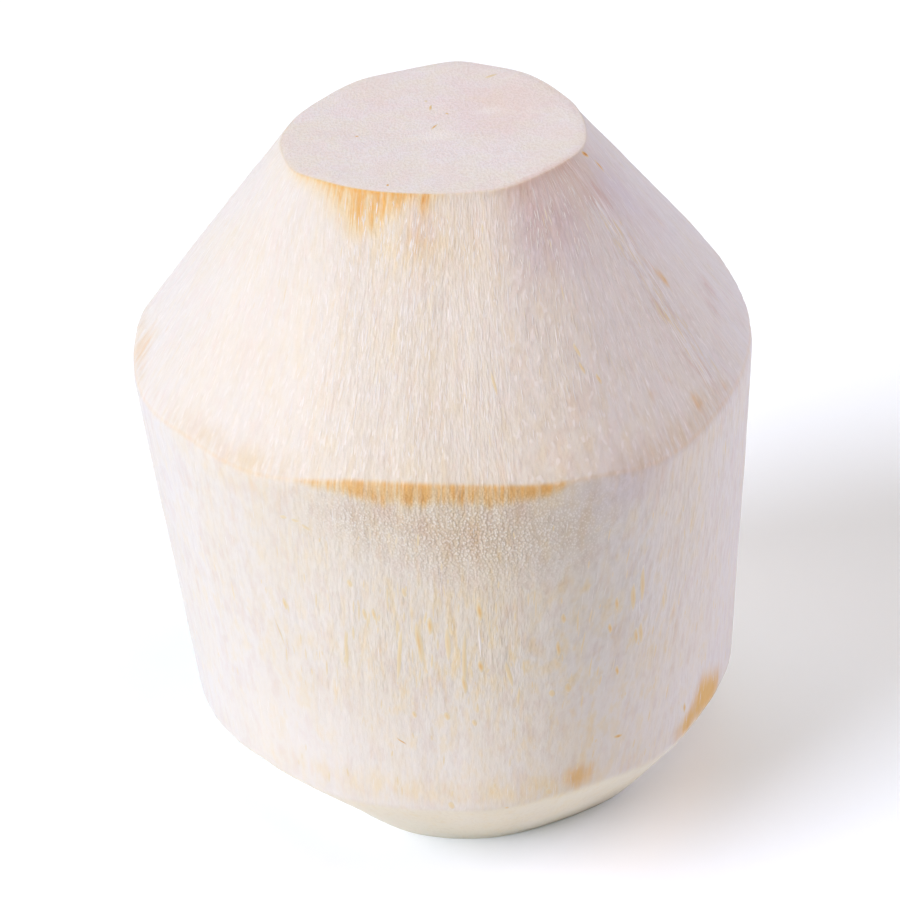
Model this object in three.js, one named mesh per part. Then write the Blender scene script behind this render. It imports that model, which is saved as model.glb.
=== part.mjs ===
// A young coconut trimmed for the table: one piece, the pale inner husk left after the green skin is
// pared off with a heavy knife. Strokes down the top make a many-sided cone under one flat cut, the wall
// is shaved nearly round, a lower ring of strokes draws it in, and a last flat cut lets it stand.
// Millimetres, Z up, standing on its base cut at z = 0.

import * as THREE from "three";

// Driving dimensions.
const HEIGHT = 125.1; // base cut to top cut
const SHOULDER_RADIUS = 56.4; // widest, where the cone strokes meet the wall
const SHOULDER_HEIGHT = 88.9;
const RIM_RADIUS = 52.9; // where the wall meets the lower strokes
const RIM_HEIGHT = 20.4;

// The strokes that make each zone. `faces` is the way a stroke looks out, in degrees from the front
// (-Y) towards +X; `inner` is its reach at the flat cut; `meets` is the height where it leaves the wall;
// `flat` is how flat it is across: 1 is a plane, 0 follows the round of the fruit.
const CONE_STROKES = [
  { faces: -42, inner: 22.8, meets: 90.0, flat: 0.92 },
  { faces: -19, inner: 20.0, meets: 94.3, flat: 0.66 },
  { faces: 30, inner: 23.6, meets: 94.4, flat: 0.63 },
  { faces: 49, inner: 25.6, meets: 88.7, flat: 1 },
  { faces: 81, inner: 26.8, meets: 86.0, flat: 0.54 },
  { faces: 144, inner: 33.5, meets: 90.4, flat: 0.87 },
  { faces: 206, inner: 31.8, meets: 88.4, flat: 0.79 },
  { faces: 240, inner: 27.6, meets: 88.7, flat: 0.81 },
  { faces: 261, inner: 26.2, meets: 90.3, flat: 0.82 },
  { faces: 285, inner: 24.5, meets: 86.8, flat: 0.87 },
];
const FOOT_STROKES = [
  { faces: -50, inner: 33.3, meets: 23.4, flat: 0.73 },
  { faces: -15, inner: 35.4, meets: 20.7, flat: 0.73 },
  { faces: 20, inner: 35.6, meets: 20.5, flat: 0.73 },
  { faces: 60, inner: 37.0, meets: 22.9, flat: 0.73 },
  { faces: 100, inner: 36.0, meets: 20.7, flat: 0.73 },
  { faces: 140, inner: 35.4, meets: 19.8, flat: 0.73 },
  { faces: 180, inner: 36.8, meets: 20.6, flat: 0.73 },
  { faces: 220, inner: 35.6, meets: 20.4, flat: 0.73 },
  { faces: 265, inner: 36.0, meets: 20.8, flat: 0.73 },
];
// Flats left on the wall by the shaving, each standing so far proud of the even taper.
const WALL_FLATS = [
  { faces: -70, proud: -1.1 },
  { faces: -30, proud: 1.0 },
  { faces: 10, proud: 5.9 },
  { faces: 45, proud: 3.2 },
  { faces: 80, proud: -1.3 },
  { faces: 120, proud: -1.0 },
  { faces: 160, proud: 0 },
  { faces: 200, proud: 0 },
  { faces: 245, proud: -0.3 },
];
const WALL_FLATNESS = 0.51;

const RIDGE_SHARPNESS = 48; // ridges between neighbouring strokes; higher is crisper
const CREASE_ROUNDING = 1.2; // how softly the zones run into one another
const CUT_EDGE = 0.4; // worn edge round the two flat cuts

const AROUND = 96;

const radians = THREE.MathUtils.degToRad;

// Reach at an angle of a set of cuts, each { faces, reach, flat }: the deepest wins, with a softened ridge.
function pared(angle, cuts) {
  let sum = 0;
  for (const { faces, reach, flat } of cuts) {
    const turn = THREE.MathUtils.euclideanModulo(angle - radians(faces) + Math.PI, 2 * Math.PI) - Math.PI;
    const away = THREE.MathUtils.clamp(turn, -1.5, 1.5);
    sum += (reach / Math.cos(flat * away)) ** -RIDGE_SHARPNESS;
  }
  return sum ** (-1 / RIDGE_SHARPNESS);
}

// The shaved wall, tapering evenly from the shoulder down to the rim.
function plainWall(height) {
  const up = (height - RIM_HEIGHT) / (SHOULDER_HEIGHT - RIM_HEIGHT);
  return THREE.MathUtils.lerp(RIM_RADIUS, SHOULDER_RADIUS, up);
}

function wallReach(angle, height) {
  const reach = plainWall(height);
  const flats = WALL_FLATS.map(({ faces, proud }) => ({ faces, reach: reach + proud, flat: WALL_FLATNESS }));
  return pared(angle, flats);
}

// Strokes that run straight from a flat cut at `cutHeight` out to the wall.
function slopeReach(angle, height, strokes, cutHeight) {
  const cuts = strokes.map(({ faces, inner, meets, flat }) => {
    const along = (height - cutHeight) / (meets - cutHeight);
    return { faces, reach: THREE.MathUtils.lerp(inner, plainWall(meets), along), flat };
  });
  return pared(angle, cuts);
}

const coneReach = (angle, height) => slopeReach(angle, height, CONE_STROKES, HEIGHT);
const footReach = (angle, height) => slopeReach(angle, height, FOOT_STROKES, 0);

// Height where a slope and the wall cross, found by halving between two heights.
function crossing(angle, slope, inWall, inSlope) {
  let wallSide = inWall;
  let slopeSide = inSlope;
  for (let step = 0; step < 24; step += 1) {
    const middle = (wallSide + slopeSide) / 2;
    if (slope(angle, middle) > wallReach(angle, middle)) {
      wallSide = middle;
    } else {
      slopeSide = middle;
    }
  }
  return (wallSide + slopeSide) / 2;
}

// The smaller of two reaches, eased where they are close.
function eased(a, b) {
  const near = Math.max(CREASE_ROUNDING - Math.abs(a - b), 0) / CREASE_ROUNDING;
  return Math.min(a, b) - (near * near * CREASE_ROUNDING) / 4;
}

function reachAt(angle, height) {
  return eased(eased(coneReach(angle, height), wallReach(angle, height)), footReach(angle, height));
}

// Heights of the rings at one angle, base to top, close together at the rim and the shoulder.
function ringHeights(angle) {
  const rim = crossing(angle, footReach, 50, 5);
  const shoulder = crossing(angle, coneReach, 60, HEIGHT - 5);
  const between = (low, high, count) =>
    Array.from({ length: count }, (_, k) => THREE.MathUtils.lerp(low, high, (k + 1) / (count + 1)));
  const crease = (height) => [height - 1.2, height - 0.4, height + 0.4, height + 1.2];
  return [
    CUT_EDGE,
    ...between(CUT_EDGE, rim - 1.2, 2),
    ...crease(rim),
    ...between(rim + 1.2, shoulder - 1.2, 5),
    ...crease(shoulder),
    ...between(shoulder + 1.2, HEIGHT - CUT_EDGE, 4),
    HEIGHT - CUT_EDGE,
  ];
}

// One upright outline of the body, from just off the base centre to just off the top centre.
function outline(angle) {
  const foot = reachAt(angle, CUT_EDGE);
  const crown = reachAt(angle, HEIGHT - CUT_EDGE);
  const side = ringHeights(angle).map((height) => ({ reach: reachAt(angle, height), height }));
  return [
    { reach: foot / 2, height: 0 },
    { reach: foot - CUT_EDGE, height: 0 },
    ...side,
    { reach: crown - CUT_EDGE, height: HEIGHT },
    { reach: crown / 2, height: HEIGHT },
  ];
}

function huskGeometry() {
  const positions = [0, 0, 0, 0, 0, HEIGHT];
  const outlines = Array.from({ length: AROUND }, (_, k) => outline((k / AROUND) * 2 * Math.PI));
  const rings = outlines[0].length;
  outlines.forEach((points, k) => {
    const angle = (k / AROUND) * 2 * Math.PI;
    for (const { reach, height } of points) {
      positions.push(reach * Math.sin(angle), -reach * Math.cos(angle), height);
    }
  });
  const at = (column, ring) => 2 + (column % AROUND) * rings + ring;
  const faces = [];
  for (let column = 0; column < AROUND; column += 1) {
    faces.push(0, at(column + 1, 0), at(column, 0));
    faces.push(1, at(column, rings - 1), at(column + 1, rings - 1));
    for (let ring = 0; ring < rings - 1; ring += 1) {
      const [low, high] = [at(column, ring), at(column, ring + 1)];
      const [lowNext, highNext] = [at(column + 1, ring), at(column + 1, ring + 1)];
      faces.push(low, lowNext, highNext);
      faces.push(low, highNext, high);
    }
  }
  const geometry = new THREE.BufferGeometry();
  geometry.setAttribute("position", new THREE.Float32BufferAttribute(positions, 3));
  geometry.setIndex(faces);
  // The knife leaves it a little lopsided: stand it over the middle of its own width.
  geometry.computeBoundingBox();
  const middle = geometry.boundingBox.getCenter(new THREE.Vector3());
  geometry.translate(-middle.x, -middle.y, 0);
  geometry.computeVertexNormals();
  return geometry;
}

const huskMaterial = new THREE.MeshStandardMaterial({ color: 0xe6d8cb, roughness: 0.68, metalness: 0 });
const husk = new THREE.Mesh(huskGeometry(), huskMaterial);
husk.name = "husk";

const coconut = new THREE.Group();
coconut.name = "coconut";
coconut.add(husk);

export default coconut;
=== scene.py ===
import math

import bpy
import numpy as np
from mathutils import Matrix, Vector


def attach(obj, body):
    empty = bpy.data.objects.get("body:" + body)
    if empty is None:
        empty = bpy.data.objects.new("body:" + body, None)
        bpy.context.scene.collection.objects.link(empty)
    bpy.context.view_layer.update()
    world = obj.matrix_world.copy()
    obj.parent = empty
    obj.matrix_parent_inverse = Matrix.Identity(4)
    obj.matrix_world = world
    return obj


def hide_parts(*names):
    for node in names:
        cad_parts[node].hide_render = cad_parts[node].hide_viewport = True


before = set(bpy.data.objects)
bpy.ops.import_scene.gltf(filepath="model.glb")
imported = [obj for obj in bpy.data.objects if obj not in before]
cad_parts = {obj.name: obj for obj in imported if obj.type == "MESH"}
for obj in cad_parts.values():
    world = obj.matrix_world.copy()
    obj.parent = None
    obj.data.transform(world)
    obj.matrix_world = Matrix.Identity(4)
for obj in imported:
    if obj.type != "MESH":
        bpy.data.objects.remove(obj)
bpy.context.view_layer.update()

# ---------------------------------------------------------------------------------------------------
# The husk: the whole fruit, one piece, the damp stringy husk left when a heavy knife has pared off the
# green skin. Long strokes make the cone, shavings the wall, a low ring of strokes the foot, and two
# flat cuts finish it. The knife drags the fibres a little, and cut edges brown in the air.

MM = 0.001
HEIGHT = 125.1
SHOULDER_RADIUS, SHOULDER_HEIGHT = 56.4, 88.9
RIM_RADIUS, RIM_HEIGHT = 52.9, 20.4

# Strokes: the way each faces (degrees from the front towards +X), its reach at the flat cut, the
# height where it runs out into the wall, and how flat it is across (1 is a plane).
CONE_STROKES = (
    (-42, 22.8, 90.0, 0.92),
    (-19, 20.0, 94.3, 0.66),
    (30, 23.6, 94.4, 0.63),
    (49, 25.6, 88.7, 1.00),
    (81, 26.8, 86.0, 0.54),
    (144, 33.5, 90.4, 0.87),
    (206, 31.8, 88.4, 0.79),
    (240, 27.6, 88.7, 0.81),
    (261, 26.2, 90.3, 0.82),
    (285, 24.5, 86.8, 0.87),
)
FOOT_STROKES = (
    (-50, 33.3, 23.4, 0.73),
    (-15, 35.4, 20.7, 0.73),
    (20, 35.6, 20.5, 0.73),
    (60, 37.0, 22.9, 0.73),
    (100, 36.0, 20.7, 0.73),
    (140, 35.4, 19.8, 0.73),
    (180, 36.8, 20.6, 0.73),
    (220, 35.6, 20.4, 0.73),
    (265, 36.0, 20.8, 0.73),
)
# Flats on the wall: the way each faces and how far it stands proud of the even taper.
WALL_FLATS = (
    (-70, -1.1),
    (-30, 1.0),
    (10, 5.9),
    (45, 3.2),
    (80, -1.3),
    (120, -1.0),
    (160, 0.0),
    (200, 0.0),
    (245, -0.3),
)
WALL_FLATNESS = 0.51
RIDGE_SHARPNESS = 48
CREASE_ROUNDING = 1.2
CUT_EDGE = 0.4
# Past this turn from its own facing, in radians, a stroke reaches no further out.
WIDEST_TURN = 1.5

AROUND = 720
angle = np.arange(AROUND) / AROUND * 2 * np.pi


def pared(cuts):
    """Reach at every angle of a set of (facing, reach, flatness) cuts: the deepest wins."""
    total = 0
    for faces, reach, flat in cuts:
        turn = (angle - math.radians(faces) + np.pi) % (2 * np.pi) - np.pi
        away = np.clip(turn, -WIDEST_TURN, WIDEST_TURN)
        total = total + (reach / np.cos(flat * away)) ** -RIDGE_SHARPNESS
    return total ** (-1 / RIDGE_SHARPNESS)


def plain_wall(height):
    up = (height - RIM_HEIGHT) / (SHOULDER_HEIGHT - RIM_HEIGHT)
    return RIM_RADIUS + (SHOULDER_RADIUS - RIM_RADIUS) * up


def wall_reach(height):
    return pared([(faces, plain_wall(height) + proud, WALL_FLATNESS) for faces, proud in WALL_FLATS])


def slope_reach(height, strokes, cut_height):
    cuts = []
    for faces, inner, meets, flat in strokes:
        along = (height - cut_height) / (meets - cut_height)
        cuts.append((faces, inner + (plain_wall(meets) - inner) * along, flat))
    return pared(cuts)


def cone_reach(height):
    return slope_reach(height, CONE_STROKES, HEIGHT)


def foot_reach(height):
    return slope_reach(height, FOOT_STROKES, 0.0)


HALVINGS = 24


def crossing(slope, in_wall, in_slope):
    """Height at every angle where a slope and the wall cross, between a height in each."""
    wall_side = np.full(AROUND, float(in_wall))
    slope_side = np.full(AROUND, float(in_slope))
    for _ in range(HALVINGS):
        middle = (wall_side + slope_side) / 2
        outside = slope(middle) > wall_reach(middle)
        wall_side = np.where(outside, middle, wall_side)
        slope_side = np.where(outside, slope_side, middle)
    return (wall_side + slope_side) / 2


def eased(a, b):
    """The lesser of two reaches, rounded over where they cross."""
    near = np.maximum(CREASE_ROUNDING - np.abs(a - b), 0) / CREASE_ROUNDING
    return np.minimum(a, b) - near**2 * CREASE_ROUNDING / 4


def reach_at(height):
    return eased(eased(cone_reach(height), wall_reach(height)), foot_reach(height))


rim_height = crossing(foot_reach, in_wall=50, in_slope=5)
shoulder_height = crossing(cone_reach, in_wall=60, in_slope=HEIGHT - 5)


def spaced(low, high, count):
    """Heights between two, ends left out."""
    return [low + (high - low) * (k + 1) / (count + 1) for k in range(count)]


# Rings of points are closest about the two creases, where these are the steps either side.
CREASE_STEPS = (-1.5, -1.0, -0.6, -0.3, 0, 0.3, 0.6, 1.0, 1.5)
CREASE_REACH = CREASE_STEPS[-1]
FOOT_ROWS, WALL_ROWS, CONE_ROWS = 12, 42, 26
side_heights = [np.full(AROUND, CUT_EDGE)]
side_heights += spaced(CUT_EDGE, rim_height - CREASE_REACH, FOOT_ROWS)
side_heights += [rim_height + step for step in CREASE_STEPS]
side_heights += spaced(rim_height + CREASE_REACH, shoulder_height - CREASE_REACH, WALL_ROWS)
side_heights += [shoulder_height + step for step in CREASE_STEPS]
side_heights += spaced(shoulder_height + CREASE_REACH, HEIGHT - CUT_EDGE, CONE_ROWS)
side_heights += [np.full(AROUND, HEIGHT - CUT_EDGE)]
rings = [(reach_at(height), height) for height in side_heights]

# The two flat cuts, each with a slightly worn edge.
foot_edge, crown_edge = rings[0][0], rings[-1][0]
FOOT_RINGS, CROWN_RINGS = 6, 18
foot_flat = [((foot_edge - CUT_EDGE) * (k + 1) / FOOT_RINGS, 0.0 * angle) for k in range(FOOT_RINGS)]
crown_flat = [
    ((crown_edge - CUT_EDGE) * (CROWN_RINGS - k) / CROWN_RINGS, HEIGHT + 0.0 * angle)
    for k in range(CROWN_RINGS)
]
worn = CUT_EDGE * (1 - math.sqrt(0.5))
foot_flat.append((foot_edge - worn, worn + 0.0 * angle))
crown_flat.insert(0, (crown_edge - worn, HEIGHT - worn + 0.0 * angle))
rings = foot_flat + rings + crown_flat
rim_ring = len(foot_flat) + 1 + FOOT_ROWS + len(CREASE_STEPS) // 2
shoulder_ring = rim_ring + len(CREASE_STEPS) + WALL_ROWS
crown_ring = len(rings) - CROWN_RINGS

reach = np.array([ring[0] for ring in rings])
height = np.array([ring[1] for ring in rings])
skin = np.stack([reach * np.sin(angle), -reach * np.cos(angle), height], axis=-1)
from_axis = skin[..., :2].copy()
# The lopsided body stands over the middle of its own width.
middle = (skin.reshape(-1, 3).max(axis=0) + skin.reshape(-1, 3).min(axis=0)) / 2
CENTRE = np.array([middle[0], middle[1], 0.0])

steps = np.linalg.norm(np.diff(skin, axis=0), axis=-1)
along = np.concatenate([np.zeros((1, AROUND)), np.cumsum(steps, axis=0)])
above_rim = along - along[rim_ring]
above_shoulder = along - along[shoulder_ring]
below_crown = along[crown_ring] - along

# The fibres do not head straight for the crown. By facing, how many degrees their upper ends turn
# towards growing angle: on the cone, what the strip next to the crown adds, and on the wall.
CONE_LEAN = {-90: -8, -65: -12, -50: -10, -35: -6, -15: 0, -5: 3, 5: 5, 15: 8}
CONE_LEAN |= {30: 13, 45: 12, 57: 8, 75: 5, 110: 5, 180: 0, 230: -4}
CROWN_LEAN = {-70: 0, -46: -9, -26: -8, -14: 0, 180: 0}
WALL_LEAN = {-60: 0, -30: 5, 0: 4, 9: 2, 15: 6, 26: 12, 40: 9, 55: 5, 90: 0, 180: 0}
around_deg = np.degrees(angle)


def smooth(values, low, high):
    """0 at low, 1 at high, eased in between; high may be the smaller."""
    t = np.clip((values - low) / (high - low), 0, 1)
    return t * t * (3 - 2 * t)


def by_facing(table):
    """A value at every angle from a few facings' values, in straight lines between them."""
    facings, values = zip(*sorted((faces % 360, value) for faces, value in table.items()))
    return np.interp(around_deg, facings, values, period=360)


on_slope = smooth(above_shoulder, -4, 4)
cone_lean = by_facing(CONE_LEAN) * (0.8 + 0.9 * smooth(height, 92, 120))
cone_lean += by_facing(CROWN_LEAN) * smooth(height, 104, 118)
lean = cone_lean * on_slope + by_facing(WALL_LEAN) * (1 - on_slope)
lean = np.tan(np.radians(lean)) * (below_crown > 0)
# Where round the foot each fibre started, followed upwards ring by ring.
fibre = np.tile(angle, (len(rings), 1))
for k in range(rim_ring, len(rings) - 1):
    before = angle - lean[k] * steps[k] / reach[k]
    fibre[k + 1] = before + np.interp(before, angle, fibre[k] - angle, period=2 * np.pi)

draw = np.random.default_rng(7)


def lattice(u, v, columns):
    """Smooth random relief, -1 to 1, with one random value at each whole u (wrapped) and v."""
    values = draw.uniform(-1, 1, (int(v.max()) + 3, columns))
    u0, v0 = np.floor(u).astype(int), np.floor(v).astype(int)
    fu, fv = u - u0, v - v0
    fu, fv = fu * fu * (3 - 2 * fu), fv * fv * (3 - 2 * fv)
    left, right = u0 % columns, (u0 + 1) % columns
    low = values[v0, left] * (1 - fu) + values[v0, right] * fu
    high = values[v0 + 1, left] * (1 - fu) + values[v0 + 1, right] * fu
    return low * (1 - fv) + high * fv


def grain(across, down):
    """Relief in cells so many degrees across and so many millimetres down."""
    columns = round(360 / across)
    return lattice(fibre / (2 * np.pi) * columns, along / down, columns)


FLAT_SPAN = 160


def flat_grain(cell):
    """Relief in square cells over the flat cuts."""
    u, v = (from_axis[..., 0] + FLAT_SPAN / 2) / cell, (from_axis[..., 1] + FLAT_SPAN / 2) / cell
    return lattice(u, v, int(FLAT_SPAN / cell) + 2)


on_foot_flat = along[len(foot_flat)]
side = smooth(below_crown, 0.2, 2.0) * smooth(along, on_foot_flat - 1, on_foot_flat + 1)
above_foot = smooth(above_rim, -1.5, 1.5)
# How far the fibres stand up: the left was shaved cleanly, and the low wall too.
RAISED = {-100: 0.8, -75: 0.5, -35: 0.6, -20: 1, 60: 1, 80: 0.7, 170: 0.9}
raised = by_facing(RAISED) * (0.45 + 0.55 * smooth(height, 38, 62))
# The sharp ridge between the last two strokes on the front right, where the knife tore the fibres.
RIDGE_HEIGHTS = (88, 91.2, 98.7, 103.1, 107.1, 115.6, 120.9)
RIDGE_FACES = (54.6, 55.4, 57.1, 57.3, 58.6, 62.4, 63.0)
from_ridge = np.radians(around_deg - np.interp(height, RIDGE_HEIGHTS, RIDGE_FACES)) * reach
on_ridge = smooth(height, 89, 93) * (below_crown > 0.5)
ridge_crest = np.exp(-((from_ridge / 0.55) ** 2)) * on_ridge
ridge_flanks = np.exp(-(((from_ridge - 1.3) / 0.8) ** 2)) + np.exp(-(((from_ridge + 1.4) / 0.9) ** 2))
ridge_flanks *= on_ridge
# Relief in millimetres: broad unevenness, the torn ridge, raised fibres, and last the flat cuts.
relief = 0.22 * grain(15, 34) + 0.12 * grain(6, 22)
relief += (0.08 + 0.10 * grain(2, 3)) * ridge_crest
relief += 0.05 * grain(1.6, 9) * (1 - 0.4 * on_slope) * above_foot * raised
relief += (0.05 * grain(1.1, 5) + 0.04 * grain(1.0, 2.5)) * above_foot * raised
relief = relief * side + (0.10 * flat_grain(7.0) + 0.03 * flat_grain(2.5)) * (1 - side)

d_around = np.roll(skin, -1, axis=1) - np.roll(skin, 1, axis=1)
d_along = np.gradient(skin, axis=0)
out = np.cross(d_around, d_along)
out /= np.maximum(np.linalg.norm(out, axis=-1, keepdims=True), 1e-9)
on_base = np.arange(len(rings)) < FOOT_RINGS
relief[on_base] = 0
skin = (skin + out * relief[..., None] - CENTRE) * MM
skin[on_base, :, 2] = 0
skin[..., 2] = np.maximum(skin[..., 2], 0)

count = len(rings)
crown_middle = skin[-1].mean(axis=0)
vertices = np.concatenate([skin.transpose(1, 0, 2).reshape(-1, 3), [-CENTRE * MM], [crown_middle]])
base_pole, crown_pole = len(vertices) - 2, len(vertices) - 1
quads, caps = [], []
for column in range(AROUND):
    here, there = column * count, (column + 1) % AROUND * count
    quads += [(here + k, there + k, there + k + 1, here + k + 1) for k in range(count - 1)]
    caps.append((base_pole, there, here))
    caps.append((crown_pole, here + count - 1, there + count - 1))

mesh = bpy.data.meshes.new("husk_body")
mesh.from_pydata(vertices.tolist(), [], quads + caps)
mesh.polygons.foreach_set("use_smooth", [True] * len(mesh.polygons))


def note(name, values, base=0.0):
    """Keeps one number per vertex on the mesh for the finish to read; base is the base's middle."""
    attribute = mesh.attributes.new(name, "FLOAT", "POINT")
    numbers = np.concatenate([values.T.reshape(-1), [base, values[-1].mean()]])
    attribute.data.foreach_set("value", numbers.astype("f"))


note("above_rim", above_rim, base=-60)
note("above_shoulder", above_shoulder, base=-130)
note("below_crown", below_crown, base=170)

GRAIN_RADIUS = 50.0
wrap = np.stack([GRAIN_RADIUS * np.sin(fibre), -GRAIN_RADIUS * np.cos(fibre), along], axis=-1)
strand_place = mesh.attributes.new("strand_place", "FLOAT_VECTOR", "POINT")
flat_wrap = np.concatenate([wrap.transpose(1, 0, 2).reshape(-1, 3), [[0, 0, 0]], [[0, 0, 200.0]]])
strand_place.data.foreach_set("vector", flat_wrap.reshape(-1).astype("f"))


def turned_from(faces):
    return (around_deg - faces + 180) % 360 - 180 + 0 * along


def facing(faces, half_width, power=2):
    """1 at one facing, fading to 0 past half_width degrees either side."""
    return np.exp(-np.abs(turned_from(faces) / half_width) ** power)


def blot(faces, at_height, half_width, half_height):
    """A soft patch on the wall or cone: facing in degrees, the rest in millimetres."""
    across = np.radians(turned_from(faces)) * reach
    patch = np.exp(-((across / half_width) ** 2) - ((height - at_height) / half_height) ** 2)
    return patch * (below_crown > -0.2)


def spot(faces, from_middle, half_width, half_depth):
    """A soft patch on the crown cut, all in millimetres but the facing."""
    a = math.radians(faces)
    x = from_axis[..., 0] - from_middle * math.sin(a)
    y = from_axis[..., 1] + from_middle * math.cos(a)
    return np.exp(-((x / half_width) ** 2) - (y / half_depth) ** 2) * (below_crown < 0.3)


def summed(shape, *patches):
    """The sum of patches of one shape, each its strength and then what the shape takes."""
    return sum(strength * shape(*place) for strength, *place in patches)


# Browned teeth, by facing, in millimetres long: down from the crown edge, and down from the shoulder.
CROWN_TEETH = {-80: 0, -70: 0.8, -60: 1.6, -52: 2.0, -43: 3.8, -38: 4.4, -34: 5.6, -28: 6.2}
CROWN_TEETH |= {-22: 4.8, -17: 3.6, -12: 2.6, -8: 1.6, -4: 3.4, 1: 1.2, 6: 0}
SHOULDER_TEETH = {-27: 0, -23: 1.0, -20: 1.6, -15: 2.5, -12: 3.6, -9: 3.0, -7: 3.5, -2: 2.9}
SHOULDER_TEETH |= {2: 3.1, 5: 3.4, 8.5: 2.5, 12.5: 2.0, 15.5: 1.5, 17.5: 0.4, 19: 0}
# How streaked the skin is with gold, round the husk.
STREAKED = {-100: 0.5, -60: 0.35, -30: 0.9, 28: 1, 42: 0.35, 90: 0.35, 130: 0.6, 230: 0.6}
note("raised", raised)
note("crown_teeth", by_facing(CROWN_TEETH) + 0 * along)
note("shoulder_teeth", by_facing(SHOULDER_TEETH) + 0 * along)
note("crown_line", facing(-38, 31, 4))
note("streaked", by_facing(STREAKED) * (1 - 0.6 * blot(-42, 36, 24, 20)))
note("ridge_crest", ridge_crest)
note("ridge_flanks", ridge_flanks)

shoulder_gold = summed(
    facing,
    (0.7, 43, 18, 4),
    (0.5, -43, 24, 4),
    (0.5, -88, 14, 4),
    (0.6, 132, 26, 4),
    (0.5, -130, 22, 4),
)
note("shoulder_gold", shoulder_gold)
# Painted shade: dim patches under the right of the crown edge and in the front right crease.
painted_shade = summed(
    blot,
    (1.0, 38, 119.5, 8, 5.5),
    (0.4, 32, 116, 6, 4),
    (0.8, 75, 118, 7, 7),
    (0.8, 29, 86.5, 9, 4.5),
)
note("painted_shade", painted_shade)
# Painted shade, cool-toned: a patch on the wall right of the front, and a band down the far left of the
# wall.
note("cool_shade", blot(23, 68, 12, 26) + 0.6 * facing(-78, 22) * (below_crown > 30))
washed = summed(
    blot,
    (0.30, -25, 33, 26, 14),
    (0.25, -42, 102, 18, 12),
    (0.20, -24, 66, 10, 16),
    (0.15, 11, 102, 8, 10),
)
note("washed", washed)
# Browned stains: low on the right, low in front, on the back, and small ones along the ridge.
browning = summed(
    blot,
    (1.00, 51.4, 28.4, 4.2, 5.4),
    (1.15, 58.0, 25.0, 5.2, 5.0),
    (1.10, 44.8, 25.4, 4.6, 3.2),
    (1.00, 17.8, 29.3, 3.6, 3.4),
    (0.60, 39.5, 54.0, 1.6, 2.6),
    (0.80, 160, 30, 5, 4),
    (0.70, -112, 84, 4, 3),
    (0.65, -7.1, 37.7, 1.4, 1.5),
    (0.65, -86.2, 91.5, 6, 4.5),
    (1.00, 63.6, 105.5, 0.9, 1.7),
    (0.65, 62.5, 108.6, 0.7, 2.0),
    (0.75, 56, 102.5, 1.0, 3.4),
    (0.90, 50, 90.6, 2.0, 1.8),
    (0.80, 58.8, 89.5, 1.0, 1.6),
    (0.75, 46.7, 95.4, 1.2, 2.2),
    (0.70, 40.6, 94.8, 1.8, 1.6),
)
note("browning", browning)
# Bruises: on the right of the cone, in runs under the shoulder's teeth, and under the crown edge.
bruised = summed(
    blot,
    (0.90, 79.3, 98.0, 2.0, 1.6),
    (0.70, 74, 96.1, 1.4, 1.6),
    (0.40, 83.2, 110.3, 2.5, 2.5),
    (0.90, -11, 88, 1.6, 2.2),
    (0.80, -6, 84.5, 0.9, 2.6),
    (0.70, -1.5, 82, 0.8, 2.8),
    (0.70, 2.5, 83, 1.5, 3.4),
    (0.50, 9.5, 87.5, 2.6, 2.0),
    (0.50, -3, 75, 0.8, 3.4),
    (0.22, 50, 120.5, 13, 5),
    (0.80, -5.2, 121.0, 2.6, 3),
    (0.60, 40, 121.0, 4.5, 3.5),
    (0.50, 60, 121, 5, 3),
)
bruised += facing(50, 21, 4) * smooth(below_crown, 4.6, 0.2) * smooth(below_crown, -0.8, 0.6)
note("bruised", bruised)
haze = summed(
    blot,
    (0.6, 1.9, 27.5, 16, 2.6),
    (0.5, 13.8, 28.0, 9, 3.4),
    (0.5, -22.6, 27.6, 18, 2.4),
    (0.2, -0.1, 85.2, 16, 5),
    (0.3, 49.1, 84.4, 14, 3.5),
    (0.8, -9, 119.5, 9, 3.6),
    (0.4, -38, 88.5, 14, 3.0),
)
note("haze", haze)
beaded = summed(blot, (0.9, 3, 83.5, 15, 8.5), (0.35, 18, 82, 8, 7), (0.5, -16, 86, 8, 5))
note("beaded", np.minimum(beaded, 1.0))
spotted = summed(blot, (1.0, 22, 58, 26, 22), (0.7, -5, 42, 40, 14), (0.35, -45, 62, 22, 20))
note("spotted", np.minimum(spotted + 0.8 * facing(170, 90, 4), 1.0))
note("strung", blot(-6, 60.6, 18, 13))
note("warm", blot(-6, 78, 42, 60) + 0.4 * blot(-64, 106, 18, 14))
blush = summed(spot, (0.9, 142, 18.9, 11, 9), (0.6, 107, 12.3, 5, 5), (0.35, -151, 21.1, 6, 6))
note("blush", blush + 0.18 * blot(55, 110, 24, 16))
pale = summed(spot, (0.9, 150, 2.8, 2.6, 1.7), (0.8, 137, 15.8, 2.2, 1.3), (0.3, 177, 14.1, 3, 3))
note("pale", pale)


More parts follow.
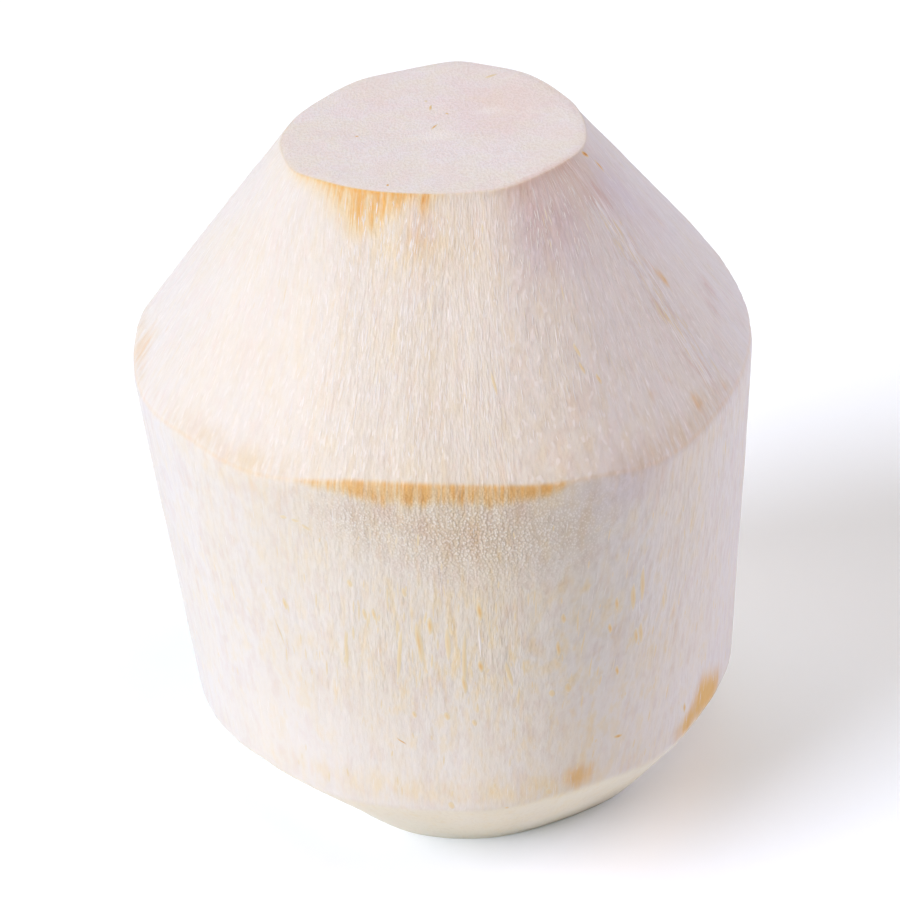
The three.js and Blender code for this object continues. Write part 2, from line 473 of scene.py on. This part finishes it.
class Wire:
    """A socket of a material. Arithmetic on it, also with plain numbers, adds the Math nodes."""

    def __init__(self, socket):
        self.socket = socket

    def make(self, kind, settings, inputs, output=0):
        tree = self.socket.id_data
        node = tree.nodes.new("ShaderNode" + kind)
        for name, value in settings.items():
            setattr(node, name, value)
        for name, value in inputs.items():
            if isinstance(value, Wire):
                tree.links.new(value.socket, node.inputs[name])
            else:
                node.inputs[name].default_value = value
        return Wire(node.outputs[output])

    def maths(self, operation, first, second):
        return self.make("Math", {"operation": operation}, {0: first, 1: second})

    def __add__(self, other):
        return self.maths("ADD", self, other)

    def __radd__(self, other):
        return self.maths("ADD", other, self)

    def __sub__(self, other):
        return self.maths("SUBTRACT", self, other)

    def __rsub__(self, other):
        return self.maths("SUBTRACT", other, self)

    def __mul__(self, other):
        return self.maths("MULTIPLY", self, other)

    def __rmul__(self, other):
        return self.maths("MULTIPLY", other, self)

    def between(self, low, high):
        """0 below low, 1 above high, eased in between; high may be the smaller."""
        limits = {"Value": self, "From Min": low, "From Max": high}
        return self.make("MapRange", {"interpolation_type": "SMOOTHSTEP"}, limits)

    def note(self, name, output=2):
        return self.make("Attribute", {"attribute_name": name}, {}, output)

    def noise(self, place, stretch, scale, detail=2.0, roughness=0.5):
        """Noise, 0 to 1, at a place in millimetres that is first stretched."""
        spot = self.make("VectorMath", {"operation": "MULTIPLY"}, {0: place, 1: stretch})
        inputs = {"Vector": spot, "Scale": scale, "Detail": detail, "Roughness": roughness}
        return self.make("TexNoise", {}, inputs)

    def tint(self, under, over, amount, how="MULTIPLY"):
        """Multiplied, a colour stains the one under it or paints shade on it; mixed, it covers it."""
        inputs = {0: amount, 6: under, 7: over}
        return self.make("Mix", {"data_type": "RGBA", "blend_type": how}, inputs, 2)

    def feed(self, value):
        self.socket.id_data.links.new(value.socket, self.socket)


damp_husk = bpy.data.materials.new("damp_husk")
damp_husk.use_nodes = True
shader = damp_husk.node_tree.nodes["Principled BSDF"]
wire = Wire(shader.inputs["Base Color"])

place = wire.note("strand_place", 1)
from_rim = wire.note("above_rim")
from_shoulder = wire.note("above_shoulder")
from_crown = wire.note("below_crown")
beaded = wire.note("beaded")
strung = wire.note("strung")
metres = wire.make("TexCoord", {}, {}, 3)
body_place = wire.make("VectorMath", {"operation": "SCALE"}, {0: metres, "Scale": 1000.0})

crown_face = from_crown.between(0.3, -0.3)
pared_foot = from_rim.between(1.0, -1.0)
on_cone = from_shoulder.between(-0.5, 0.5)
stringy = (1 - crown_face) * (1 - pared_foot)

# Strands run up the wall and in towards the crown, so they crowd together on the cone.
low_strands = wire.noise(place, (1.0, 1.0, 0.18), 1.6, 2.0, 0.6)
high_strands = wire.noise(place, (1.0, 1.0, 0.38), 1.1, 2.0, 0.6)
crowded = from_crown.between(34.0, 8.0)
strands = low_strands * (1 - crowded) + high_strands * crowded
glints = wire.noise(place, (1.0, 1.0, 0.25), 2.1, 1.0)
short_marks = wire.noise(place, (1.0, 1.0, 0.42), 1.3, 2.0, 0.6)
tan_streaks = wire.noise(place, (1.0, 1.0, 0.18), 0.9, 2.0)
tan_marks = wire.noise(place, (1.0, 1.0, 0.32), 0.75, 2.0, 0.6)
broad_marks = wire.noise(place, (1.0, 1.0, 0.42), 0.42, 3.0, 0.6)
mottle = wire.noise(body_place, (1.0, 1.0, 0.6), 0.09, 2.0)
clouds = wire.noise(body_place, (1.0, 1.0, 1.0), 0.20, 2.0, 0.5)
tissue = wire.noise(body_place, (1.0, 0.75, 1.0), 2.0, 2.0, 0.7)
comb = wire.noise(place, (1.0, 1.0, 0.03), 0.55, 2.0, 0.6)
teeth = wire.noise(place, (1.0, 1.0, 0.06), 1.5, 2.0, 0.6)
bead_place = wire.make("VectorMath", {"operation": "MULTIPLY"}, {0: body_place, 1: (0.9, 0.9, 0.8)})
bead = wire.make("TexVoronoi", {"feature": "F1"}, {"Vector": bead_place, "Scale": 2.5})

# Tints multiply the flesh, as juice and browning do; the dim and cool tints are painted shade.
# Only the milky pale covers it; on glints and bead tops it is a painted highlight.
FLESH = (0.724, 0.663, 0.604, 1)
STRAW = (1.0, 0.955, 0.84, 1)
GOLD = (1.03, 0.91, 0.64, 1)
RUST = (0.97, 0.635, 0.23, 1)
BARK = (0.72, 0.50, 0.36, 1)
TAN = (0.93, 0.84, 0.70, 1)
SHADE = (0.92, 0.90, 0.88, 1)
DUSK = (0.88, 0.83, 0.78, 1)
BRUISE = (0.90, 0.76, 0.70, 1)
BLUSH = (1.0, 0.92, 0.925, 1)
MILK_AND_GLINT = (0.825, 0.75, 0.675, 1)
COOL_SHADE = (0.93, 0.965, 1.02, 1)
FACE = (1.06, 1.065, 1.09, 1)
PAINTED_SHADE_TINT = (0.90, 0.865, 0.95, 1)
FOOT = (1.045, 1.045, 0.95, 1)

on_wall = 1 - on_cone
raised = wire.note("raised")
spotted = wire.note("spotted") * on_wall
colour = wire.tint(FLESH, STRAW, mottle.between(0.40, 0.65) * 0.35)
colour = wire.tint(colour, STRAW, wire.note("warm") * 0.75)
streaky = (0.32 + strung * 0.6 - on_cone * 0.08) * wire.note("streaked")
colour = wire.tint(colour, GOLD, stringy * streaky * tan_streaks.between(0.48, 0.70))
colour = wire.tint(colour, GOLD, stringy * tan_marks.between(0.56, 0.72) * (0.12 + spotted * 0.35))
colour = wire.tint(colour, GOLD, stringy * broad_marks.between(0.53, 0.70) * spotted * 0.4)
colour = wire.tint(colour, DUSK, stringy * broad_marks.between(0.46, 0.32) * spotted * 0.25)
dips = strands.between(0.56, 0.36) * 0.6 + short_marks.between(0.50, 0.32) * 0.5
colour = wire.tint(colour, SHADE, stringy * dips * raised)
colour = wire.tint(colour, SHADE, stringy * on_wall * broad_marks.between(0.56, 0.38) * 0.3)
colour = wire.tint(colour, BLUSH, stringy * broad_marks.between(0.50, 0.34) * 0.4)
colour = wire.tint(colour, STRAW, stringy * broad_marks.between(0.52, 0.68) * 0.4)
colour = wire.tint(colour, MILK_AND_GLINT, wire.note("washed"), "MIX")
# Painted cool shade on the wall.
colour = wire.tint(colour, COOL_SHADE, wire.note("cool_shade") * on_wall)
glinting = stringy * glints.between(0.58, 0.72) * (0.15 + on_cone * 0.45)
colour = wire.tint(colour, MILK_AND_GLINT, glinting * raised, "MIX")

beaded = beaded * on_wall
gaps = bead.between(0.28, 0.55)
colour = wire.tint(colour, STRAW, beaded * 0.15)
colour = wire.tint(colour, DUSK, beaded * gaps)
colour = wire.tint(colour, DUSK, beaded * comb.between(0.46, 0.66) * 0.3)
# The pale bead tops are painted glints.
colour = wire.tint(colour, MILK_AND_GLINT, beaded * bead.between(0.44, 0.14) * 0.85, "MIX")

colour = wire.tint(colour, FACE, crown_face)
colour = wire.tint(colour, BLUSH, crown_face * clouds.between(0.40, 0.62) * 0.5 + wire.note("blush"))
colour = wire.tint(colour, STRAW, crown_face * clouds.between(0.52, 0.40) * 0.3)
colour = wire.tint(colour, DUSK, crown_face * tissue.between(0.58, 0.40) * 0.45)
colour = wire.tint(colour, MILK_AND_GLINT, crown_face * wire.note("pale") * (0.3 + tissue * 0.9), "MIX")
colour = wire.tint(colour, FOOT, pared_foot)
colour = wire.tint(colour, SHADE, pared_foot * short_marks.between(0.52, 0.34) * 0.4)
colour = wire.tint(colour, STRAW, pared_foot * tan_marks.between(0.52, 0.70) * 0.5)

drop = 0 - from_shoulder
teeth_long = wire.note("shoulder_teeth")
ragged = comb * 0.9 + teeth * 0.9
gilded = (teeth_long * (ragged + 0.45) - drop).between(-0.6, 1.4) * drop.between(-0.9, 0.2)
toothed = (teeth_long * (ragged + 0.25) - drop).between(-0.4, 1.8) * drop.between(-0.9, 0.2)
patchy = (teeth * 0.8 + comb * 0.3).between(0.40, 0.68)
colour = wire.tint(colour, GOLD, gilded * 0.75)
colour = wire.tint(colour, RUST, toothed * (patchy * 0.7 + 0.12))

teeth_long = wire.note("crown_teeth")
gilded = (teeth_long * 1.6 - from_crown).between(-1.5, 4.0) * (1 - crown_face)
toothed = (teeth_long * (teeth * 2.2) - from_crown).between(-1.0, 4.5) * (1 - crown_face)
toothed = toothed * (comb * 0.3 + teeth * 0.4 + short_marks * 0.4).between(0.40, 0.64)
colour = wire.tint(colour, GOLD, gilded * 0.9)
colour = wire.tint(colour, RUST, toothed * 0.9)

crown_line = from_crown.between(-0.5, 0.0) * from_crown.between(1.0, 0.1) * wire.note("crown_line")
edge_gold = drop.between(-6.5, -2.0) * drop.between(1.0, -1.6) * wire.note("shoulder_gold")
torn = tan_marks * 0.7 + teeth * 0.5
blots = (wire.note("browning") * 1.8 - teeth * 1.3 - comb * 1.2 + 0.75).between(0.0, 2.0)
colour = wire.tint(colour, TAN, edge_gold * torn.between(0.42, 0.70))
colour = wire.tint(colour, BRUISE, wire.note("ridge_flanks") * torn.between(0.52, 0.74) * 0.7)
colour = wire.tint(colour, MILK_AND_GLINT, wire.note("ridge_crest") * torn.between(0.72, 0.50) * 0.85, "MIX")
# Painted shade over the dim patches.
colour = wire.tint(colour, PAINTED_SHADE_TINT, wire.note("painted_shade"))
hazy = (tan_marks * 1.3 + teeth * 0.8 - 0.6).between(0.0, 0.8)
colour = wire.tint(colour, GOLD, wire.note("haze") * hazy)
colour = wire.tint(colour, GOLD, crown_line * (0.3 + comb * 0.8))
colour = wire.tint(colour, BRUISE, wire.note("bruised") * (teeth * 1.4 + short_marks * 1.4 - 0.64))
colour = wire.tint(colour, RUST, blots * (teeth * 0.8 + short_marks * 0.6 + 0.35))
wire.feed(colour)

bump_height = stringy * (strands * 0.7 + glints * 0.6) * raised - beaded * bead * 1.3
bump_height = bump_height + tissue * (0.2 + crown_face * 0.6)
bump = wire.make("Bump", {}, {"Strength": 0.5, "Distance": 0.0004, "Height": bump_height})
Wire(shader.inputs["Normal"]).feed(bump)
Wire(shader.inputs["Roughness"]).feed(0.62 + strands * 0.12 - beaded * 0.12)
shader.inputs["Specular IOR Level"].default_value = 0.35
shader.inputs["Subsurface Weight"].default_value = 0.12
shader.inputs["Subsurface Radius"].default_value = (1.0, 0.6, 0.4)
shader.inputs["Subsurface Scale"].default_value = 0.002

husk = bpy.data.objects.new("pared_husk", mesh)
bpy.context.scene.collection.objects.link(husk)
mesh.materials.append(damp_husk)
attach(husk, "root")
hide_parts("husk")

# ---------------------------------------------------------------------------------------------------
# Drawn strands: single husk fibres that the knife dragged up instead of cutting, and short nicks where
# it caught. Each lies along the husk and is still part of it, sunk at both ends and proud in between.

STATIONS = 8
# Millimetres a strand's edges are sunk, and the share of its tone that they take.
SUNK, EDGE_SHARE = -0.04, 0.3
# The tone a strand starts and ends at, and how much it sways and strays from the fibres' way.
END_TONE, SWAY, STRAY = 0.2, 0.04, 0.03
LEAST_RADIUS = 3.0


def foothold(faces, at_height):
    """The (column, ring) place on the husk, as decimals, at a facing and height on its side."""
    column = faces / 360 * AROUND
    lines = height[:, int(round(column)) % AROUND]
    on_side = slice(len(foot_flat), crown_ring)
    return column, np.interp(at_height, lines[on_side], np.arange(len(lines))[on_side])


def crown_foothold(faces, from_middle):
    """The place on the crown cut at a facing and a distance from its middle."""
    column = faces / 360 * AROUND
    lines = reach[crown_ring:, int(round(column)) % AROUND]
    return column, crown_ring + np.interp(-from_middle, -lines, np.arange(len(lines)))


def read(grid, columns, ring):
    """The value of a grid over the husk between its own columns and rings."""
    c0, k0 = np.floor(columns).astype(int), np.clip(np.floor(ring).astype(int), 0, count - 2)
    fc, fr = (columns - c0)[..., None], (ring - k0)[..., None]
    a, b = c0 % AROUND, (c0 + 1) % AROUND
    low = grid[k0, a] * (1 - fc) + grid[k0, b] * fc
    high = grid[k0 + 1, a] * (1 - fc) + grid[k0 + 1, b] * fc
    return low * (1 - fr) + high * fr


strand_points, strand_faces, strand_tones = [], [], []


def lay(column, ring, length, width, rise, sway, tone, slant=0.0):
    """One strand, in millimetres, centred on a foothold; slant turns it and sway bends it."""
    t = np.linspace(0, 1, STATIONS)
    lines = along[:, int(round(column)) % AROUND]
    middle_along = np.interp(ring, np.arange(count), lines)
    rings_here = np.interp(middle_along + (t - 0.5) * length, lines, np.arange(count))
    radius = max(float(read(reach[..., None], np.array([column]), np.array([ring]))[0, 0]), LEAST_RADIUS)
    per_mm = AROUND / (2 * np.pi * radius)
    swell = np.sin(np.pi * np.clip(t, 0.02, 0.98)) ** 0.7
    middle_columns = column + per_mm * (slant * (t - 0.5) * length + sway * np.sin(2 * np.pi * t))
    first = len(strand_points)
    thin_tone = min(tone, END_TONE)
    for side_step, lift, share in ((-0.5, SUNK, EDGE_SHARE), (0.0, rise, 1.0), (0.5, SUNK, EDGE_SHARE)):
        columns = middle_columns + side_step * width * swell * per_mm
        lifted = read(out, columns, rings_here) * (lift * swell)[:, None] * MM
        strand_points.extend((read(skin, columns, rings_here) + lifted).tolist())
        strand_tones.extend(thin_tone + (tone - thin_tone) * share * swell)
    for k in range(STATIONS - 1):
        a, b, c = first + k, first + STATIONS + k, first + 2 * STATIONS + k
        strand_faces.extend([(a, b, b + 1, a + 1), (b, c, c + 1, b + 1)])


def scatter(number, facings, heights, lengths, widths, rises, tones, spread=None, slant=0.0):
    """Many strands, each span as (least, most); facings is their middle where a spread is given."""
    for _ in range(number):
        faces = draw.uniform(*facings) if spread is None else draw.normal(facings, spread)
        column, ring = foothold(faces, draw.uniform(*heights))
        length, width, rise = draw.uniform(*lengths), draw.uniform(*widths), draw.uniform(*rises)
        sway, tone = draw.normal(0, SWAY), draw.uniform(*tones)
        grain_slant = float(read(lean[..., None], np.array([column]), np.array([ring]))[0, 0])
        lay(column, ring, length, width, rise, sway, tone, grain_slant + slant + draw.normal(0, STRAY))


# Fine strands on the wall and the cone, then browner ones on the wall's front and back, the cone and
# the strung patch.
scatter(1300, (0, 360), (26, 86), (1.0, 3.5), (0.14, 0.28), (0.02, 0.05), (0.05, 0.32))
scatter(1900, (0, 360), (94, 124), (1.0, 3.0), (0.14, 0.28), (0.02, 0.05), (0.05, 0.32))
scatter(170, (-25, 75), (26, 84), (1.0, 4.0), (0.5, 0.9), (0.02, 0.04), (0.45, 0.8))
scatter(220, (75, 335), (26, 84), (1.0, 4.0), (0.45, 0.8), (0.02, 0.04), (0.4, 0.65))
scatter(220, (0, 360), (94, 121), (1.5, 4.5), (0.3, 0.6), (0.03, 0.05), (0.35, 0.6))
scatter(60, -8, (48, 72), (2.0, 6.0), (0.45, 0.8), (0.03, 0.06), (0.45, 0.75), spread=16)
# Pale strands lifted off the cone, and strands torn along the sharp ridge between two strokes.
scatter(700, (-32, 62), (96, 122), (0.8, 2.2), (0.2, 0.34), (0.05, 0.09), (0.0, 0.3))
scatter(90, (-24, 40), (98, 113), (2.0, 4.5), (0.26, 0.4), (0.06, 0.11), (0.0, 0.5))
scatter(150, 58.5, (92, 119), (2.0, 6.5), (0.26, 0.48), (0.05, 0.10), (0.0, 0.7), spread=1.7, slant=-0.04)
# Facing, height, length, width, tone and slant of the strands and nicks that stand out.
for faces, at_height, length, width, tone, slant in (
    (-20.9, 57.8, 10.2, 1, 0.82, 0.09),
    (-11.3, 58.2, 13.6, 1.1, 0.82, 0.16),
    (-7.7, 61.2, 10.2, 1.6, 0.97, -0.02),
    (-5.6, 65.0, 4.3, 1.4, 1.02, 0.09),
    (-2.9, 61.3, 8.5, 1.3, 0.87, 0.05),
    (-0.4, 57.9, 14.0, 1.1, 0.87, 0.08),
    (-0.7, 52.7, 5.0, 1.3, 0.97, 0.0),
    (2.6, 68.2, 4.6, 1.4, 1.1, 0.0),
    (2.2, 56.5, 3.0, 1.4, 1.1, 0.0),
    (2.3, 62.0, 7.0, 0.5, 0, 0.03),
    (6.7, 54.5, 6.6, 1.1, 0.82, -0.14),
    (-9.4, 71.6, 2.4, 1.1, 0.82, 0.0),
    (-32.3, 64.4, 3.0, 1.2, 0.92, 0.0),
    (-34.6, 57.7, 7.2, 0.5, 0.72, -0.22),
    (-15.0, 66.4, 2.9, 1, 0.92, 0.0),
    (-16.7, 66.1, 2.9, 1, 0.87, 0.0),
    (-18.7, 72.2, 2.0, 1.3, 0.87, 0.0),
    (15.9, 64.5, 2.3, 1.2, 0.92, 0.0),
    (14.9, 58.4, 3.7, 1.1, 1.02, 0.0),
    (25.8, 63.4, 3.0, 1.1, 1.02, 0.05),
    (31.2, 64.8, 8.0, 1.5, 0.9, 0.05),
    (29.2, 63.2, 6.0, 1.5, 0.9, 0.04),
    (31.0, 54.6, 5.0, 1.4, 0.9, 0.0),
    (30.6, 60.0, 4.0, 0.5, 0.15, 0.03),
    (36.6, 58.4, 4.0, 1.1, 0.7, 0.0),
    (24.4, 58.9, 2.3, 1.2, 1.07, 0.0),
    (29.9, 54.5, 3.7, 1.3, 0.97, 0.0),
    (25.8, 49.1, 2.4, 1.1, 1.1, 0.0),
    (16.4, 49.5, 2.4, 1.6, 0.87, 0.0),
    (13.6, 49.2, 1.8, 1.6, 0.82, 0.0),
    (-9.8, 45.3, 1.8, 1.1, 0.92, 0.0),
    (-4.1, 45.4, 2.2, 1.4, 0.92, 0.0),
    (0.5, 44.1, 1.8, 1.1, 0.87, 0.0),
    (-12.7, 38.9, 1.6, 0.7, 1.3, -1.0),
    (26.1, 34.3, 0.9, 2.6, 1.2, 0.0),
    (44.0, 30.1, 2.6, 1.3, 1.15, 0.0),
    (12.5, 27.1, 1.8, 1.6, 0.8, 0.0),
    (-4.7, 24.8, 2.2, 1.5, 0.8, 0.0),
    (5.1, 24.3, 0.8, 1.1, 1, 0.0),
    (-29.7, 83.1, 1.0, 2, 0.7, 0.4),
    (-27.4, 83.0, 1.0, 2.2, 0.7, -0.3),
    (-25.5, 82.1, 1.6, 1.4, 0.75, -0.8),
    (60.0, 112.9, 16.2, 0.36, 0.06, 0.22),
    (61.3, 114.5, 5.0, 0.5, 0.7, 0.20),
    (55.8, 97.2, 18.4, 0.36, 0.06, 0.12),
    (56.5, 101.3, 7.0, 0.6, 0.8, 0.13),
    (57.2, 99.2, 4.0, 0.6, 0.65, 0.13),
    (58.4, 93.6, 6.0, 0.4, 0.8, 0.13),
    (73.6, 124.2, 1.8, 1.5, 1.5, 0.0),
    (75.6, 121.7, 3.0, 1.1, 1.3, 0.1),
    (28.4, 104.6, 3.0, 0.9, 0.8, 0.0),
    (27.8, 102.5, 2.6, 0.9, 0.85, 0.0),
    (30.4, 100.4, 2.2, 1, 0.95, 0.0),
    (9.2, 103.7, 5.0, 0.7, 0.7, 0.0),
):
    column, ring = foothold(faces, at_height)
    lay(column, ring, length, width, rise=0.10, sway=0.08, tone=tone, slant=slant)
# Facing, distance from the middle, length, width, tone and slant of the nicks on the crown cut.
for faces, from_middle, length, width, tone, slant in (
    (169.9, 6.3, 2.6, 0.7, 1.25, 0.4),
    (177.0, 14.5, 2.6, 0.8, 1.1, 0.1),
    (179.8, 17.4, 1.2, 0.9, 0.6, 0.0),
    (155.9, 29.5, 3.0, 1.4, 0.8, 0.6),
    (-110.5, 13.1, 0.8, 0.7, 1.5, 0.0),
    (-24.6, 17.5, 0.8, 0.8, 1.5, 0.0),
    (162.6, 11.9, 0.6, 1.2, 1.2, 0.0),
):
    column, ring = crown_foothold(faces, from_middle)
    lay(column, ring, length, width, rise=0.06, sway=0.05, tone=tone, slant=slant)

strand_mesh = bpy.data.meshes.new("drawn_strands")
strand_mesh.from_pydata(strand_points, [], strand_faces)
strand_mesh.polygons.foreach_set("use_smooth", [True] * len(strand_mesh.polygons))
tone_note = strand_mesh.attributes.new("tone", "FLOAT", "POINT")
tone_note.data.foreach_set("value", strand_tones)

# A strand's tone runs from pale through straw and browned to nearly bark.
SALLOW = (1.0, 0.88, 0.60, 1)
strand_finish = bpy.data.materials.new("strand_finish")
strand_finish.use_nodes = True
shader = strand_finish.node_tree.nodes["Principled BSDF"]
wire = Wire(shader.inputs["Base Color"])
tone = wire.note("tone")
colour = wire.tint(MILK_AND_GLINT, FLESH, tone.between(0.0, 0.25), "MIX")
colour = wire.tint(colour, SALLOW, tone.between(0.2, 0.6))
colour = wire.tint(colour, RUST, tone.between(0.6, 1.3))
colour = wire.tint(colour, BARK, tone.between(1.1, 1.5))
wire.feed(colour)
shader.inputs["Roughness"].default_value = 0.5
shader.inputs["Specular IOR Level"].default_value = 0.4

drawn_strands = bpy.data.objects.new("drawn_strands", strand_mesh)
bpy.context.scene.collection.objects.link(drawn_strands)
strand_mesh.materials.append(strand_finish)
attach(drawn_strands, "root")

# ---------------------------------------------------------------------------------------------------
# The stage: a plain white floor, a broad soft key lamp low on the left front, a low kicker on the
# right, and three high fills.

FLOOR_REACH = 6.0
corners = [(x * FLOOR_REACH, y * FLOOR_REACH, 0) for x, y in ((-1, -1), (1, -1), (1, 1), (-1, 1))]
floor_mesh = bpy.data.meshes.new("floor")
floor_mesh.from_pydata(corners, [], [(0, 1, 2, 3)])
floor = bpy.data.objects.new("floor", floor_mesh)
bpy.context.scene.collection.objects.link(floor)
floor_paint = bpy.data.materials.new("floor_paint")
floor_paint.use_nodes = True
shader = floor_paint.node_tree.nodes["Principled BSDF"]
shader.inputs["Base Color"].default_value = (0.97, 0.97, 0.97, 1)
shader.inputs["Emission Color"].default_value = (0.8, 1.0, 0.8, 1)
shader.inputs["Emission Strength"].default_value = 0.06
shader.inputs["Roughness"].default_value = 0.9
shader.inputs["Specular IOR Level"].default_value = 0.1
floor_mesh.materials.append(floor_paint)


def lamp(name, faces, rise, strength, softness, colour):
    """A far-off soft light: where it stands (degrees from the front towards +X) and how high."""
    light = bpy.data.lights.new(name, "SUN")
    light.energy, light.angle, light.color = strength, math.radians(softness), colour
    holder = bpy.data.objects.new(name, light)
    bpy.context.scene.collection.objects.link(holder)
    a, b = math.radians(faces), math.radians(rise)
    towards = Vector((math.sin(a) * math.cos(b), -math.cos(a) * math.cos(b), math.sin(b)))
    holder.rotation_mode = "QUATERNION"
    holder.rotation_quaternion = towards.to_track_quat("Z", "Y")


lamp("key", -65, 33, 3.05, 38, (0.90, 0.97, 1.15))
lamp("kicker", 102, 13, 1.40, 42, (0.74, 0.83, 1.30))
lamp("left_fill", -150, 62, 0.62, 45, (1.20, 0.96, 0.86))
lamp("right_fill", 60, 62, 0.70, 45, (1.36, 0.98, 0.68))
lamp("back_fill", 180, 62, 0.35, 45, (0.28, 1.0, 1.40))

world = bpy.data.worlds.new("studio")
world.use_nodes = True
world.node_tree.nodes["Background"].inputs["Color"].default_value = (0.9, 1.0, 1.0, 1)
world.node_tree.nodes["Background"].inputs["Strength"].default_value = 0.03
bpy.context.scene.world = world
bpy.context.scene.view_settings.view_transform = "Standard"

# The camera looks down at the front from close by, and is held slightly out of level.
CAMERA_RISE, CAMERA_ROLL, CAMERA_AWAY = math.radians(32.50), math.radians(4.22), 440 * MM
AIM_HEIGHT = 54.65
# In pixels of the square image.
IMAGE, FOCAL_LENGTH, SHIFT_ACROSS, SHIFT_UP = 900, 2355, -4.3, 39.0
aim = Vector((-CENTRE[0], -CENTRE[1], AIM_HEIGHT)) * MM
back = Vector((0, -math.cos(CAMERA_RISE), math.sin(CAMERA_RISE)))
right = Vector((1, 0, 0))
up = back.cross(right)
cam_right = right * math.cos(CAMERA_ROLL) - up * math.sin(CAMERA_ROLL)
cam_up = right * math.sin(CAMERA_ROLL) + up * math.cos(CAMERA_ROLL)
camera_data = bpy.data.cameras.new("camera")
camera_data.sensor_width = 36
camera_data.lens = camera_data.sensor_width * FOCAL_LENGTH / IMAGE
camera_data.shift_x = SHIFT_ACROSS / IMAGE
camera_data.shift_y = SHIFT_UP / IMAGE
camera_data.clip_start, camera_data.clip_end = 0.01, 30
camera = bpy.data.objects.new("camera", camera_data)
bpy.context.scene.collection.objects.link(camera)
turned = Matrix((cam_right, cam_up, back)).transposed().to_4x4()
camera.matrix_world = Matrix.Translation(aim + back * CAMERA_AWAY) @ turned
bpy.context.scene.camera = camera

bpy.context.view_layer.update()
